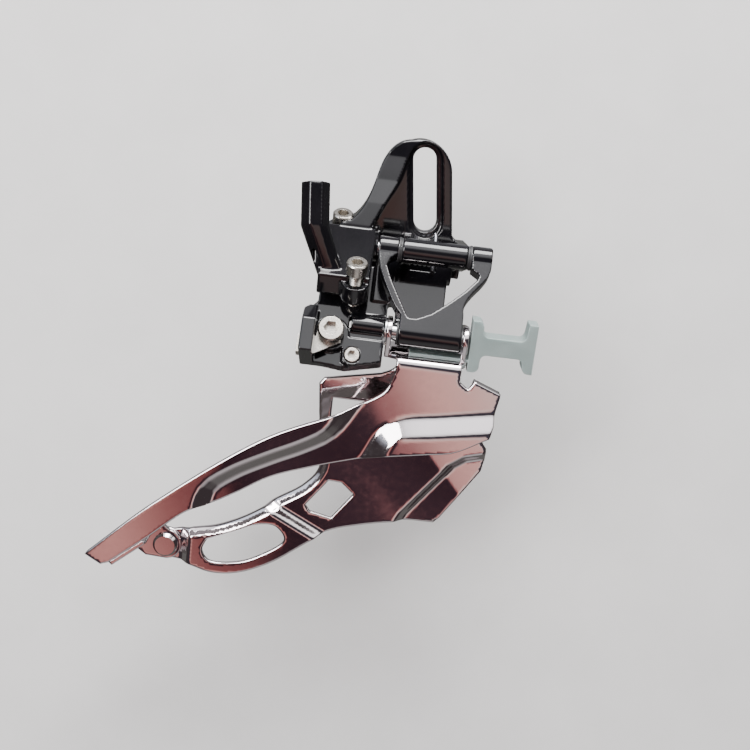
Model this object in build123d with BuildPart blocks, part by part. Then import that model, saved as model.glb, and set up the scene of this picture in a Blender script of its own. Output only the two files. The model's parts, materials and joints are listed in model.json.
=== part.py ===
from build123d import *
import os
from math import cos, pi, radians, sin

# Front derailleur for three chainrings, high direct mount, cable pulled from above.
# Millimetres. +X is forward along the pivot pins, +Y is inboard (towards the frame), +Z is up.
# The origin is the centre of the mounting slot on the back face that lies on the frame.

# ---------------------------------------------------------------- driving dimensions
LINK_LENGTH = 20.0            # centre distance of the pivots of both links
REST_LEAN = 31.0              # degrees the links lean outboard as drawn
OUTER_PIVOT = (-22.0, -12.5)  # (Y, Z) of the outer link's upper pivot
PIVOT_GAP = (9.0, -1.5)       # (Y, Z) from an outer pivot to the inner one beside it

PIN_R = 1.75                  # pivot pins
RUN_GAP = 0.05                # radial play of a turning fit
FIT_GAP = 0.02                # gap between pieces that are fixed to each other
OPEN_GAP = 0.2                # radial play of the inner lower pivot

SLOT_WIDTH = 5.6              # mounting slot for an M5 bolt
SLOT_LENGTH = 20.4
SLOT_LEAN = 7.5               # degrees the slot's top leans rearward
MOUNT_THICK = 5.5             # mounting plate
KNUCKLE_R = 2.9               # upper knuckles
BUSH_R = PIN_R + 0.5
BARREL_R = 3.3                # outer link's lower barrel

SCREW_TILT = 26.0             # limit screws lean outboard from vertical
SCREW_R = 1.5                 # M3
SCREW_HEAD_R = 2.45
SCREW_HEAD = 2.8
THREAD_PITCH = 0.5

PLATE_THICK = 1.2             # cage plates
SLOPE = 45.0                  # degrees of the walls of the inner plate's pressed areas
STEP = 2.5                    # height of the pressed steps in the cage plates
OUTER_FACE = -36.5            # Y of the outer plate's main outboard face
INNER_FACE = -23.3            # Y of the inner plate's main outboard face
BRIDGE_TOP = -34.4            # Z of the cage bridge's top face
BEND_R = 1.9                  # outside radius of the bend between the outer plate and the bridge
REAR_EAR = (-5.2, -4.0)       # X span of the cage's rear ear
FRONT_EAR = (12.0, 13.2)      # X span of the cage's front ear
CAGE_EAR_R = 3.2

STOP_RADIUS = 3.25            # cable housing stop, across its flats / 2
STOP_LENGTH = 9.8
HOUSING_R = 2.1               # bore for the cable housing's end cap
CABLE_R = 0.8

# ---------------------------------------------------------------- derived places
LEAN_Y = -sin(radians(REST_LEAN))
LEAN_Z = -cos(radians(REST_LEAN))
INNER_PIVOT = (OUTER_PIVOT[0] + PIVOT_GAP[0], OUTER_PIVOT[1] + PIVOT_GAP[1])
OUTER_LOWER = (OUTER_PIVOT[0] + LINK_LENGTH * LEAN_Y, OUTER_PIVOT[1] + LINK_LENGTH * LEAN_Z)
INNER_LOWER = (INNER_PIVOT[0] + LINK_LENGTH * LEAN_Y, INNER_PIVOT[1] + LINK_LENGTH * LEAN_Z)

# A link's own plane: x forward, y up along the link, z out of its outboard face.
OUTER_LINK_PLANE = Plane(origin=(0, *OUTER_PIVOT), x_dir=(1, 0, 0), z_dir=(0, LEAN_Z, -LEAN_Y))
INNER_LINK_PLANE = Plane(origin=(0, *INNER_PIVOT), x_dir=(1, 0, 0), z_dir=(0, LEAN_Z, -LEAN_Y))

# The limit screws' own planes: z along the shank, pointing down and inboard.
SCREW_DOWN = (0, sin(radians(SCREW_TILT)), -cos(radians(SCREW_TILT)))
LOW_SCREW_PLANE = Plane(origin=(-18.9, -9.2, -7.19), x_dir=(1, 0, 0), z_dir=SCREW_DOWN)
HIGH_SCREW_PLANE = Plane(origin=(-13.6, -29.0, -15.4), x_dir=(1, 0, 0), z_dir=SCREW_DOWN)
LOW_SCREW_LENGTH = 10.05
LOW_SEAT = 3.65               # from the low screw's head top to its boss
HIGH_SCREW_LENGTH = 12.2
HIGH_SEAT = 5.6

# The cable housing stop leans with the cable's pull.
STOP_PLANE = Plane(origin=(-25.3, -21.0, 0.2), x_dir=(1, 0.1, 0.1), z_dir=(-0.1, 0.25, 0.96))


def across(y, z, x=0.0):
    """A sketch plane facing +X, with its local x along +Y and its local y along +Z."""
    return Plane(origin=(x, y, z), x_dir=(0, 1, 0), z_dir=(1, 0, 0))


def tube(x_from, x_to, centre, radius, mode=Mode.ADD):
    """A cylinder along X between two places, centred on a (Y, Z) point."""
    with BuildSketch(across(*centre, x=x_from)) as round_end:
        Circle(radius)
    return extrude(round_end.sketch, amount=x_to - x_from, mode=mode)


def side_block(x_from, x_to, points, mode=Mode.ADD):
    """A block along X with a (Y, Z) polygon for its side."""
    with BuildSketch(across(0, 0, x=x_from)) as side:
        with BuildLine():
            Polyline(points, close=True)
        make_face()
    return extrude(side.sketch, amount=x_to - x_from, mode=mode)


def front_block(points, y_from, y_to, mode=Mode.ADD):
    """A block along Y with an (X, Z) polygon for its front."""
    with BuildSketch(Plane.XZ.offset(-y_from)) as front:
        with BuildLine():
            Polyline(points, close=True)
        make_face()
    return extrude(front.sketch, amount=y_from - y_to, mode=mode)


def hull_ear(x_from, x_to, circles, mode=Mode.ADD):
    """An ear along X whose side is the outline around (Y, Z, radius) circles."""
    with BuildSketch(across(0, 0, x=x_from)) as side:
        for y, z, radius in circles:
            with Locations((y, z)):
                Circle(radius)
        make_hull(side.edges())
    return extrude(side.sketch, amount=x_to - x_from, mode=mode)


def link_side(pivot):
    """A sketch plane beside a link: local x out of its outboard face, local y down along it."""
    return Plane(origin=(-30.0, *pivot), x_dir=(0, LEAN_Z, -LEAN_Y), z_dir=(1, 0, 0))


def link_plate(plane, points, h_from, h_to, mode=Mode.ADD):
    """A plate on a link, from (X, distance below the pivot) points, between two heights."""
    with BuildSketch(plane.offset(h_from)) as outline:
        with BuildLine():
            Polyline([(x, -s) for x, s in points], close=True)
        make_face()
    return extrude(outline.sketch, amount=h_to - h_from, mode=mode)


def link_disc(plane, x, s, radius, h_from, h_to, mode=Mode.ADD):
    """A round boss or hole square to a link's face."""
    with BuildSketch(plane.offset(h_from)) as disc:
        with Locations((x, -s)):
            Circle(radius)
    return extrude(disc.sketch, amount=h_to - h_from, mode=mode)


def sleeve(x_from, x_to, centre, outer, inner):
    """A ring along X."""
    with BuildSketch(across(*centre, x=x_from)) as ring:
        Circle(outer)
        Circle(inner, mode=Mode.SUBTRACT)
    return extrude(ring.sketch, amount=x_to - x_from)


def pin(x_from, x_to, centre, head_r=0.0, head=1.0):
    """A pivot pin along X with chamfered ends and, if asked for, a domed head at its rear end."""
    bevel = 0.3
    length = x_to - x_from
    with BuildSketch(Plane(origin=(x_from, *centre), x_dir=(1, 0, 0), z_dir=(0, 0, 1))) as half_side:
        with BuildLine():
            if head_r:
                ThreePointArc((-head, 0), (-0.85 * head, head_r * 0.6), (-0.4 * head, head_r))
                Polyline((-0.4 * head, head_r), (-FIT_GAP, head_r), (-FIT_GAP, PIN_R), (bevel, PIN_R))
                Line((-head, 0), (0, 0))
            else:
                Polyline((0, 0), (0, PIN_R - bevel), (bevel, PIN_R))
            Polyline((bevel, PIN_R), (length - bevel, PIN_R), (length, PIN_R - bevel), (length, 0), (0, 0))
        make_face()
    return revolve(half_side.sketch, axis=Axis((0, *centre), (1, 0, 0)))


def socket_screw(plane, head_r, head, shank_r, length, key, pitch):
    """A socket-head screw: head top at the plane's origin, shank along its z."""
    side = Plane(origin=plane.origin, x_dir=plane.x_dir, z_dir=plane.x_dir.cross(plane.z_dir))
    bevel = 0.3
    depth = 0.3
    root_r = shank_r - depth
    turns = int((length - head - 0.8) / pitch)
    profile = [(0, 0), (head_r - bevel, 0), (head_r, bevel), (head_r, head), (root_r, head)]
    for turn in range(turns):
        start = head + 0.5 + turn * pitch
        profile += [(root_r, start), (shank_r, start + pitch / 2)]
    profile += [(root_r, head + 0.5 + turns * pitch), (root_r - bevel, length), (0, length)]
    with BuildSketch(side) as half_side:
        with BuildLine():
            Polyline(profile, close=True)
        make_face()
    revolve(half_side.sketch, axis=Axis(plane.origin, plane.z_dir))
    with BuildSketch(plane) as socket:
        RegularPolygon(key / 2, 6, major_radius=False)
    extrude(socket.sketch, amount=head * 0.6, mode=Mode.SUBTRACT)


def ramp(distance, width):
    """A smooth rise from 0 to 1 over a band centred on distance 0."""
    t = min(1.0, max(0.0, distance / width + 0.5))
    return t * t * (3 - 2 * t)


def side_of(x, z, line):
    """Distance from (x, z) to a polyline, positive on its right when walked from first to last."""
    best = None
    for (x1, z1), (x2, z2) in zip(line, line[1:]):
        dx, dz = x2 - x1, z2 - z1
        along = ((x - x1) * dx + (z - z1) * dz) / (dx * dx + dz * dz)
        if (x1, z1) != line[0]:
            along = max(0.0, along)
        if (x2, z2) != line[-1]:
            along = min(1.0, along)
        away_x, away_z = x - x1 - along * dx, z - z1 - along * dz
        distance = (away_x ** 2 + away_z ** 2) ** 0.5
        if best is None or distance < abs(best) - 1e-6:
            right = away_x * dz - away_z * dx
            best = distance if right > 0 else -distance
    return best


def pressed_sheet(face_y, x_span, z_span, spacing=1.5):
    """Sheet metal whose outboard face follows face_y(x, z), before its outline is cut."""
    columns = round((x_span[1] - x_span[0]) / spacing)
    rows = round((z_span[1] - z_span[0]) / spacing)
    grid = []
    for i in range(columns + 1):
        x = x_span[0] + i * spacing
        grid.append([Vector(x, face_y(x, z_span[0] + j * spacing), z_span[0] + j * spacing)
                     for j in range(rows + 1)])
    face = Face.make_surface_from_array_of_points(grid, tol=0.02)
    return extrude(face, amount=PLATE_THICK, dir=(0, 1, 0))


def flanged_bush(x_from, x_to, centre, flange_to):
    """A bush along X with a thin flange that reaches on to flange_to, past the knuckle's end."""
    sleeve(x_from, x_to, centre, BUSH_R, PIN_R + RUN_GAP)
    flange_from = x_from if flange_to < x_from else x_to
    low, high = sorted((flange_from, flange_to))
    sleeve(low, high, centre, KNUCKLE_R - 0.15, PIN_R + RUN_GAP)


def pressed_area(points, face_y, depth):
    """Presses an area of a sheet outboard (depth below zero) or inboard, both faces alike."""
    rise = abs(depth)
    towards = 1 if depth > 0 else -1
    added_from = face_y + PLATE_THICK if depth > 0 else face_y
    cut_from = face_y if depth > 0 else face_y + PLATE_THICK
    for start_y, mode in ((added_from, Mode.ADD), (cut_from, Mode.SUBTRACT)):
        with BuildSketch(Plane.XZ.offset(-start_y)) as area:
            with BuildLine():
                Polyline(points, close=True)
            make_face()
        extrude(area.sketch, amount=-towards * rise, taper=SLOPE, mode=mode)


def rivet(plane, shank_r, head_r, head, grip, tail_r, tail):
    """A rivet: head above the plane, shank through the grip, set tail beyond it."""
    with BuildSketch(Plane(origin=plane.origin, x_dir=plane.x_dir, z_dir=-plane.y_dir)) as half_side:
        with BuildLine():
            Polyline((0, head), (head_r - 0.6, head), (head_r, head * 0.45), (head_r, FIT_GAP),
                     (shank_r, FIT_GAP), (shank_r, -grip - FIT_GAP), (tail_r, -grip - FIT_GAP),
                     (tail_r - 0.4, -grip - tail), (0, -grip - tail), close=True)
        make_face()
    return revolve(half_side.sketch, axis=Axis(plane.origin, plane.z_dir))


# ---------------------------------------------------------------- mount body
KNUCKLE_X = (-3.8, 11.2)       # X span of the upper outer knuckle
MOUNT_FRONT_EAR = (8.6, 11.2)  # X spans of the ears on the inner upper pin
MOUNT_MIDDLE_EAR = (-3.8, -1.4)
MOUNT_REAR_EAR = (-12.6, -9.6)
MOUNT_EAR_R = 3.3
SLOT_LAND = 1.0                # the slot's land is this much lower than the plate's front
LAND_CENTRE = (0.2, -0.3)
LOW_BOSS_R = 3.7
HIGH_BOSS_R = 3.2
HEAD_ROOM = 0.35               # play round the low screw's head

with BuildPart() as mount_body:
    # mounting plate, with the slot's land raised round it
    with BuildSketch(Plane.XZ) as plate_outline:
        with BuildLine():
            Spline((-4.6, 11.5), (-8.4, 9.8), (-10.6, 6.6), (-12.2, 1.2), (-13.6, -3.4), (-16.6, -8.0))
            Polyline((-16.6, -8.0), (-16.6, -12.0), (-12.6, -17.5), (-12.2, -20.5), (10.8, -20.5),
                     (11.2, -13.5), (8.0, -10.4))
            Line((8.0, -10.4), (5.9, 5.4))
            Spline((5.9, 5.4), (3.9, 9.4), (-0.4, 11.9), (-4.6, 11.5))
        make_face()
    extrude(amount=MOUNT_THICK)

    # rib: a curved wall whose front edge moves outboard as it comes down to the low screw's boss
    with BuildSketch(Plane.XZ) as rib_outline:
        with BuildLine():
            Spline((-4.6, 11.5), (-8.4, 9.8), (-10.6, 6.6), (-12.2, 1.2), (-13.6, -3.4), (-16.6, -8.0))
            Polyline((-16.6, -8.0), (-19.0, -9.0), (-19.0, -12.5), (-13.6, -12.8))
            Spline((-13.6, -12.8), (-11.2, -8.2), (-9.1, -3.6), (-6.6, 1.6), (-4.9, 7.5), (-1.6, 11.6))
            Line((-1.6, 11.6), (-4.6, 11.5))
        make_face()
    rib = extrude(amount=14.0, mode=Mode.PRIVATE)
    rib_side = side_block(-20.0, 0.0, [
        (0, 13), (-5.7, 12.2), (-6.6, 7.5), (-8.6, 1.6), (-11.2, -3.6), (-13.4, -9.4), (-13.4, -14), (0, -14),
    ], mode=Mode.PRIVATE)
    add(rib & rib_side)

    # ears that hold the pivot pins, and the upper outer knuckle between them
    pivot_ear = [(*OUTER_PIVOT, KNUCKLE_R), (*INNER_PIVOT, MOUNT_EAR_R)]
    plate_root = [(-2.4, -13.2, 2.0), (-2.4, -15.2, 2.0)]
    hull_ear(*MOUNT_FRONT_EAR, pivot_ear + plate_root)
    hull_ear(*MOUNT_MIDDLE_EAR, pivot_ear + plate_root)
    hull_ear(*MOUNT_REAR_EAR, [(*INNER_PIVOT, MOUNT_EAR_R)] + plate_root)
    tube(*KNUCKLE_X, OUTER_PIVOT, KNUCKLE_R)

    # shoulder: the wall that carries the high screw's boss, outboard of the cable arm
    side_block(-22.4, -10.4, [
        (-5.0, -10.2), (-13.2, -9.6), (-27.0, -19.4), (-25.6, -24.2), (-22.6, -23.6), (-15.6, -13.0),
        (-11.6, -12.9), (-10.0, -14.2), (-5.0, -14.2),
    ])

    # the shoulder's foot below the cable housing stop
    with BuildSketch(STOP_PLANE.offset(-STOP_LENGTH)):
        RegularPolygon(STOP_RADIUS, 8, major_radius=False, rotation=22.5)
    with BuildSketch(Plane(origin=(-18.6, -23.3, -22.6), x_dir=(1, 0, 0), z_dir=(0, 0.25, 0.97))):
        Rectangle(6.0, 4.0)
    loft()
    with BuildSketch(STOP_PLANE.offset(-STOP_LENGTH)):
        RegularPolygon(STOP_RADIUS, 8, major_radius=False, rotation=22.5)
    extrude(amount=STOP_LENGTH)

    # screw bosses
    with BuildSketch(LOW_SCREW_PLANE.offset(LOW_SEAT)):
        Circle(LOW_BOSS_R)
    extrude(amount=5.2)
    with BuildSketch(HIGH_SCREW_PLANE.offset(HIGH_SEAT)):
        Circle(HIGH_BOSS_R)
    extrude(amount=4.4)

    # bores and openings
    with BuildSketch(Plane.XZ):
        SlotOverall(SLOT_LENGTH, SLOT_WIDTH, rotation=90 + SLOT_LEAN)
    extrude(amount=MOUNT_THICK, mode=Mode.SUBTRACT)
    with BuildSketch(Plane.XZ.offset(MOUNT_THICK - SLOT_LAND)):
        with Locations(LAND_CENTRE):
            SlotOverall(SLOT_LENGTH + 2.8, SLOT_WIDTH + 2.6, rotation=90 + SLOT_LEAN)
    extrude(amount=9.0, mode=Mode.SUBTRACT)
    tube(-13.0, 12.0, INNER_PIVOT, PIN_R + FIT_GAP, mode=Mode.SUBTRACT)
    tube(-4.0, 12.0, OUTER_PIVOT, BUSH_R + FIT_GAP, mode=Mode.SUBTRACT)
    with BuildSketch(LOW_SCREW_PLANE):
        Circle(SCREW_R + RUN_GAP)
    extrude(amount=12.0, mode=Mode.SUBTRACT)
    with BuildSketch(LOW_SCREW_PLANE.offset(LOW_SEAT)):
        Circle(SCREW_HEAD_R + HEAD_ROOM)
    extrude(amount=-14.0, mode=Mode.SUBTRACT)
    with BuildSketch(HIGH_SCREW_PLANE):
        Circle(SCREW_R + RUN_GAP)
    extrude(amount=14.0, mode=Mode.SUBTRACT)
    with BuildSketch(STOP_PLANE):
        Circle(HOUSING_R)
    extrude(amount=-STOP_LENGTH + 1.4, mode=Mode.SUBTRACT)
    with BuildSketch(STOP_PLANE):
        Circle(CABLE_R)
    extrude(amount=-STOP_LENGTH - 16.0, mode=Mode.SUBTRACT)

mount_body.part.label = "mount_body"

# ---------------------------------------------------------------- limit screws
with BuildPart() as limit_screw_low:
    socket_screw(LOW_SCREW_PLANE, SCREW_HEAD_R, SCREW_HEAD, SCREW_R, LOW_SCREW_LENGTH, 2.5, THREAD_PITCH)
limit_screw_low.part.label = "limit_screw_low"

with BuildPart() as limit_screw_high:
    socket_screw(HIGH_SCREW_PLANE, SCREW_HEAD_R, SCREW_HEAD, SCREW_R, HIGH_SCREW_LENGTH, 2.5, THREAD_PITCH)
limit_screw_high.part.label = "limit_screw_high"

# ---------------------------------------------------------------- pins, clips, bushes and washers
PIN_END = 13.3                # X of the outer lower pin's front end
CLIP_R = 2.9
CLIP_THICK = 0.55
MOUNT_CLIP_X = MOUNT_FRONT_EAR[1] + FIT_GAP
CAGE_CLIP_X = FRONT_EAR[1] + 0.05
WASHER_THICK_X = 0.45
BUSH_LENGTH = 5.0
FLANGE = 0.4                  # thickness of a bush's flange
BARREL_X = (-2.6, 11.5)       # X span of the outer link's lower barrel
REAR_KNUCKLE = (-9.4, -4.0)   # X spans of the inner link's knuckles on the upper pin
FRONT_KNUCKLE = (4.4, 8.4)

with BuildPart() as outer_upper_pin:
    pin(-9.2, 16.7, OUTER_PIVOT)
outer_upper_pin.part.label = "outer_upper_pin"

with BuildPart() as inner_upper_pin:
    pin(-12.5, 12.0, INNER_PIVOT)
inner_upper_pin.part.label = "inner_upper_pin"

with BuildPart() as upper_pin_clip:
    sleeve(MOUNT_CLIP_X, MOUNT_CLIP_X + CLIP_THICK, INNER_PIVOT, CLIP_R, PIN_R + FIT_GAP)
upper_pin_clip.part.label = "upper_pin_clip"

with BuildPart() as outer_lower_pin:
    pin(REAR_EAR[0], PIN_END, OUTER_LOWER, head_r=3.1)
outer_lower_pin.part.label = "outer_lower_pin"

with BuildPart() as inner_lower_pin:
    pin(-13.4, 14.3, INNER_LOWER)
inner_lower_pin.part.label = "inner_lower_pin"

with BuildPart() as lower_pin_clip:
    sleeve(CAGE_CLIP_X, CAGE_CLIP_X + CLIP_THICK, INNER_LOWER, CLIP_R, PIN_R + FIT_GAP)
lower_pin_clip.part.label = "lower_pin_clip"


with BuildPart() as outer_upper_bushes:
    rear, front = KNUCKLE_X[0] - FIT_GAP, KNUCKLE_X[1] + FIT_GAP
    flanged_bush(rear, rear + BUSH_LENGTH, OUTER_PIVOT, rear - FLANGE)
    flanged_bush(front - BUSH_LENGTH, front, OUTER_PIVOT, front + FLANGE)
outer_upper_bushes.part.label = "outer_upper_bushes"

with BuildPart() as outer_upper_washers:
    for washer_x in (-4.7, 11.67):
        sleeve(washer_x, washer_x + WASHER_THICK_X, OUTER_PIVOT, KNUCKLE_R, PIN_R + RUN_GAP)
outer_upper_washers.part.label = "outer_upper_washers"

with BuildPart() as outer_lower_bushes:
    rear, front = BARREL_X[0] - FIT_GAP, BARREL_X[1] + FIT_GAP
    flanged_bush(rear, rear + BUSH_LENGTH, OUTER_LOWER, rear - FLANGE)
    flanged_bush(front - BUSH_LENGTH, front, OUTER_LOWER, front + FLANGE * 0.8)
outer_lower_bushes.part.label = "outer_lower_bushes"

with BuildPart() as inner_upper_bushes:
    sleeve(*REAR_KNUCKLE, INNER_PIVOT, BUSH_R, PIN_R + RUN_GAP)
    sleeve(*FRONT_KNUCKLE, INNER_PIVOT, BUSH_R, PIN_R + RUN_GAP)
inner_upper_bushes.part.label = "inner_upper_bushes"

# ---------------------------------------------------------------- return spring
SPRING_WIRE_R = 0.5
SPRING_COIL_R = 2.6
SPRING_FROM = -0.8
SPRING_PITCH = 1.1
SPRING_TURNS = 4
COIL_START = 90.0             # the body's leg leaves over the top of the coil
COIL_END = COIL_START + 90.0 - REST_LEAN + 360.0 * SPRING_TURNS
POINTS_A_TURN = 16

with BuildPart() as return_spring:
    count = round((COIL_END - COIL_START) / 360.0 * POINTS_A_TURN)
    coil = []
    for i in range(count + 1):
        angle = radians(COIL_START + (COIL_END - COIL_START) * i / count)
        x = SPRING_FROM + SPRING_PITCH * (angle - radians(COIL_START)) / (2 * pi)
        y = INNER_PIVOT[0] + SPRING_COIL_R * cos(angle)
        z = INNER_PIVOT[1] + SPRING_COIL_R * sin(angle)
        coil.append((x, y, z))
    body_leg_end = (coil[0][0], -MOUNT_THICK - 0.1, coil[0][2])
    link_leg = 5.5
    link_leg_end = (coil[-1][0], coil[-1][1] + link_leg * LEAN_Y, coil[-1][2] + link_leg * LEAN_Z)
    with BuildLine() as spring_path:
        Line(body_leg_end, coil[0])
        Spline(coil, tangents=((0, -1, 0), (0, LEAN_Y, LEAN_Z)))
        Line(coil[-1], link_leg_end)
    with BuildSketch(Plane(origin=body_leg_end, z_dir=(0, -1, 0))):
        Circle(SPRING_WIRE_R)
    sweep(path=spring_path.wires()[0])
return_spring.part.label = "return_spring"

# ---------------------------------------------------------------- outer link
with BuildPart() as outer_link:
    with BuildSketch(OUTER_LINK_PLANE.offset(-6.0)) as link_outline:
        with BuildLine():
            Polyline((-2.6, -16.5), (-2.6, -24.0), (11.5, -24.0), (11.5, -15.0))
            Spline((11.5, -15.0), (11.7, -12.0), (13.2, -9.3), (15.6, -6.1), (16.8, -2.6))
            Polyline((16.8, -2.6), (16.8, 3.5), (-9.3, 3.5), (-9.3, -2.0))
            Spline((-9.3, -2.0), (-8.3, -6.2), (-6.0, -11.3), (-4.0, -14.9), (-2.6, -16.5))
        make_face()
    extrude(amount=12.0)
    with BuildSketch(OUTER_LINK_PLANE.offset(-6.0)) as window:
        with BuildLine():
            Polyline((-4.75, 4.0), (-4.75, -1.9), (-6.4, -3.4), (-6.9, -5.0), (-5.5, -8.5), (-3.3, -12.7),
                     (-0.9, -17.2), (1.2, -17.1), (4.2, -15.6), (8.0, -12.4), (11.2, -9.3), (13.7, -6.2),
                     (14.2, -4.8), (12.2, -3.6), (12.2, 4.0), close=True)
        make_face()
        fillet(window.vertices().sort_by(Axis.Y)[0:2], 0.8)
    extrude(amount=12.0, mode=Mode.SUBTRACT)
    with BuildSketch(link_side(OUTER_PIVOT)):
        Circle(KNUCKLE_R)
        with Locations((0, LINK_LENGTH)):
            Circle(BARREL_R)
        with BuildLine():
            Polyline((2.4, 0.0), (BARREL_R, LINK_LENGTH), (-1.6, LINK_LENGTH), (-1.2, 0.0), close=True)
        make_face()
    extrude(amount=60.0, mode=Mode.INTERSECT)
    tube(-9.4, 17.0, OUTER_PIVOT, PIN_R + FIT_GAP, mode=Mode.SUBTRACT)
    tube(-3.0, 12.0, OUTER_LOWER, BUSH_R + FIT_GAP, mode=Mode.SUBTRACT)
outer_link.part.label = "outer_link"

# ---------------------------------------------------------------- inner link with the cable arm
ARM_BACK = -1.5                # heights off the link's plane
ARM_FRONT = 1.5
WEB_FRONT = 2.0
CLAMP = (-17.8, 23.7)          # (X, distance below the pivot) of the clamp bolt
CLAMP_SEAT = 3.2
WASHER_THICK = 1.0
SET_SCREW = (-12.4, 28.3)
LOWER_PLATE_FRONT = 3.2
FIN_FRONT = 10.5
LOW_STOP_TOP = 5.75

with BuildPart() as inner_link:
    # knuckles on the upper pin, and the web below them
    for x_from, x_to in (REAR_KNUCKLE, FRONT_KNUCKLE):
        tube(x_from, x_to, INNER_PIVOT, KNUCKLE_R - 0.1)
        link_plate(INNER_LINK_PLANE, [(x_from, 0), (x_to, 0), (x_to, 7), (x_from, 7)], ARM_BACK, WEB_FRONT)
    link_plate(INNER_LINK_PLANE, [
        (-9.4, 5.2), (7.5, 5.2), (7.5, LINK_LENGTH), (-3.7, LINK_LENGTH), (-3.7, 14.2), (-9.4, 14.2),
    ], ARM_BACK, WEB_FRONT)
    # the arm, which hangs beside the cage's rear ear
    link_plate(INNER_LINK_PLANE, [
        (-20.5, 5.4), (-9.4, 5.4), (-5.5, 7.0), (-5.5, 29.2), (-13.9, 31.2), (-20.0, 30.6), (-24.4, 30.6),
        (-24.4, 18.3), (-21.9, 15.6), (-21.9, 7.6),
    ], ARM_BACK, ARM_FRONT)
    link_plate(INNER_LINK_PLANE, [
        (-15.0, 24.0), (-5.6, 24.0), (-5.6, 29.2), (-12.6, 31.0), (-14.6, 30.0),
    ], ARM_FRONT, LOWER_PLATE_FRONT)
    # knuckles on the lower pin, either side of the ear
    tube(-13.5, -5.5, INNER_LOWER, KNUCKLE_R - 0.1)
    tube(-3.7, 11.7, INNER_LOWER, KNUCKLE_R - 0.3)
    # seat of the cable clamp, the fin beside it, and the low stop's lug behind
    link_disc(INNER_LINK_PLANE, *CLAMP, 4.1, ARM_FRONT, CLAMP_SEAT)
    link_plate(INNER_LINK_PLANE, [
        (-24.4, 19.6), (-23.2, 18.3), (-21.3, 18.3), (-21.3, 30.6), (-24.4, 30.6),
    ], ARM_FRONT, FIN_FRONT)
    link_plate(INNER_LINK_PLANE, [
        (-21.2, LOW_STOP_TOP), (-17.2, LOW_STOP_TOP), (-17.2, 10.5), (-21.2, 10.5),
    ], -8.4, ARM_BACK)
    # cuts: the fin's slope, the washer's slot, bores
    with BuildSketch(link_side(INNER_PIVOT)):
        with BuildLine():
            Polyline((FIN_FRONT + 1, 18.0), (FIN_FRONT + 1, 24.0), (FIN_FRONT - 4.5, 18.0), close=True)
        make_face()
    extrude(amount=12.0, mode=Mode.SUBTRACT)
    link_plate(INNER_LINK_PLANE, [(-25.0, 24.9), (-21.0, 24.9), (-21.0, 29.5), (-25.0, 29.5)],
               CLAMP_SEAT - 0.05, CLAMP_SEAT + WASHER_THICK + 0.05, mode=Mode.SUBTRACT)
    tube(-10.0, 9.0, INNER_PIVOT, BUSH_R + FIT_GAP, mode=Mode.SUBTRACT)
    tube(-14.0, 12.0, INNER_LOWER, PIN_R + OPEN_GAP, mode=Mode.SUBTRACT)
    link_disc(INNER_LINK_PLANE, *CLAMP, 2.0 + RUN_GAP, -6.0, 12.0, mode=Mode.SUBTRACT)
    link_disc(INNER_LINK_PLANE, *SET_SCREW, 1.8 + FIT_GAP, -0.6, 6.0, mode=Mode.SUBTRACT)
inner_link.part.label = "inner_link"

# ---------------------------------------------------------------- cable clamp
WASHER_TOP = CLAMP_SEAT + WASHER_THICK
CLAMP_HEAD = 3.0
CLAMP_PLANE = INNER_LINK_PLANE.offset(WASHER_TOP + FIT_GAP + CLAMP_HEAD)
CLAMP_AXIS = Plane(origin=CLAMP_PLANE.from_local_coords((CLAMP[0], -CLAMP[1], 0)), x_dir=(1, 0, 0),
                   z_dir=-INNER_LINK_PLANE.z_dir)

with BuildPart() as cable_clamp_bolt:
    socket_screw(CLAMP_AXIS, 3.0, CLAMP_HEAD, 2.0, CLAMP_HEAD + 8.4, 3.0, 0.7)
cable_clamp_bolt.part.label = "cable_clamp_bolt"

with BuildPart() as cable_clamp_washer:
    link_plate(INNER_LINK_PLANE, [
        (-20.6, 22.0), (-19.0, 20.9), (-16.6, 20.9), (-15.0, 22.6), (-15.4, 26.0), (-21.1, 29.3),
        (-25.3, 29.3), (-25.3, 25.1), (-21.1, 25.1),
    ], CLAMP_SEAT + FIT_GAP, WASHER_TOP)
    link_plate(INNER_LINK_PLANE, [(-25.3, 25.1), (-24.45, 25.1), (-24.45, 29.3), (-25.3, 29.3)],
               ARM_FRONT - 0.2, WASHER_TOP)
    link_disc(INNER_LINK_PLANE, *CLAMP, 2.0 + RUN_GAP, 0.0, 8.0, mode=Mode.SUBTRACT)
cable_clamp_washer.part.label = "cable_clamp_washer"

with BuildPart() as cable_clamp_nut:
    with BuildSketch(INNER_LINK_PLANE.offset(ARM_BACK - FIT_GAP)):
        with Locations((CLAMP[0], -CLAMP[1])):
            RegularPolygon(3.5, 6, major_radius=False)
            Circle(2.0 + RUN_GAP, mode=Mode.SUBTRACT)
    extrude(amount=-2.0)
cable_clamp_nut.part.label = "cable_clamp_nut"

with BuildPart() as arm_set_screw:
    link_disc(INNER_LINK_PLANE, *SET_SCREW, 1.8, -0.5, LOWER_PLATE_FRONT + 0.4)
    chamfer(arm_set_screw.edges().filter_by(GeomType.CIRCLE).sort_by(Axis.Y)[0], 0.2)
    with BuildSketch(INNER_LINK_PLANE.offset(LOWER_PLATE_FRONT + 0.4)):
        with Locations((SET_SCREW[0], -SET_SCREW[1])):
            RegularPolygon(0.95, 6, major_radius=False)
    extrude(amount=-1.6, mode=Mode.SUBTRACT)
arm_set_screw.part.label = "arm_set_screw"

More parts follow.
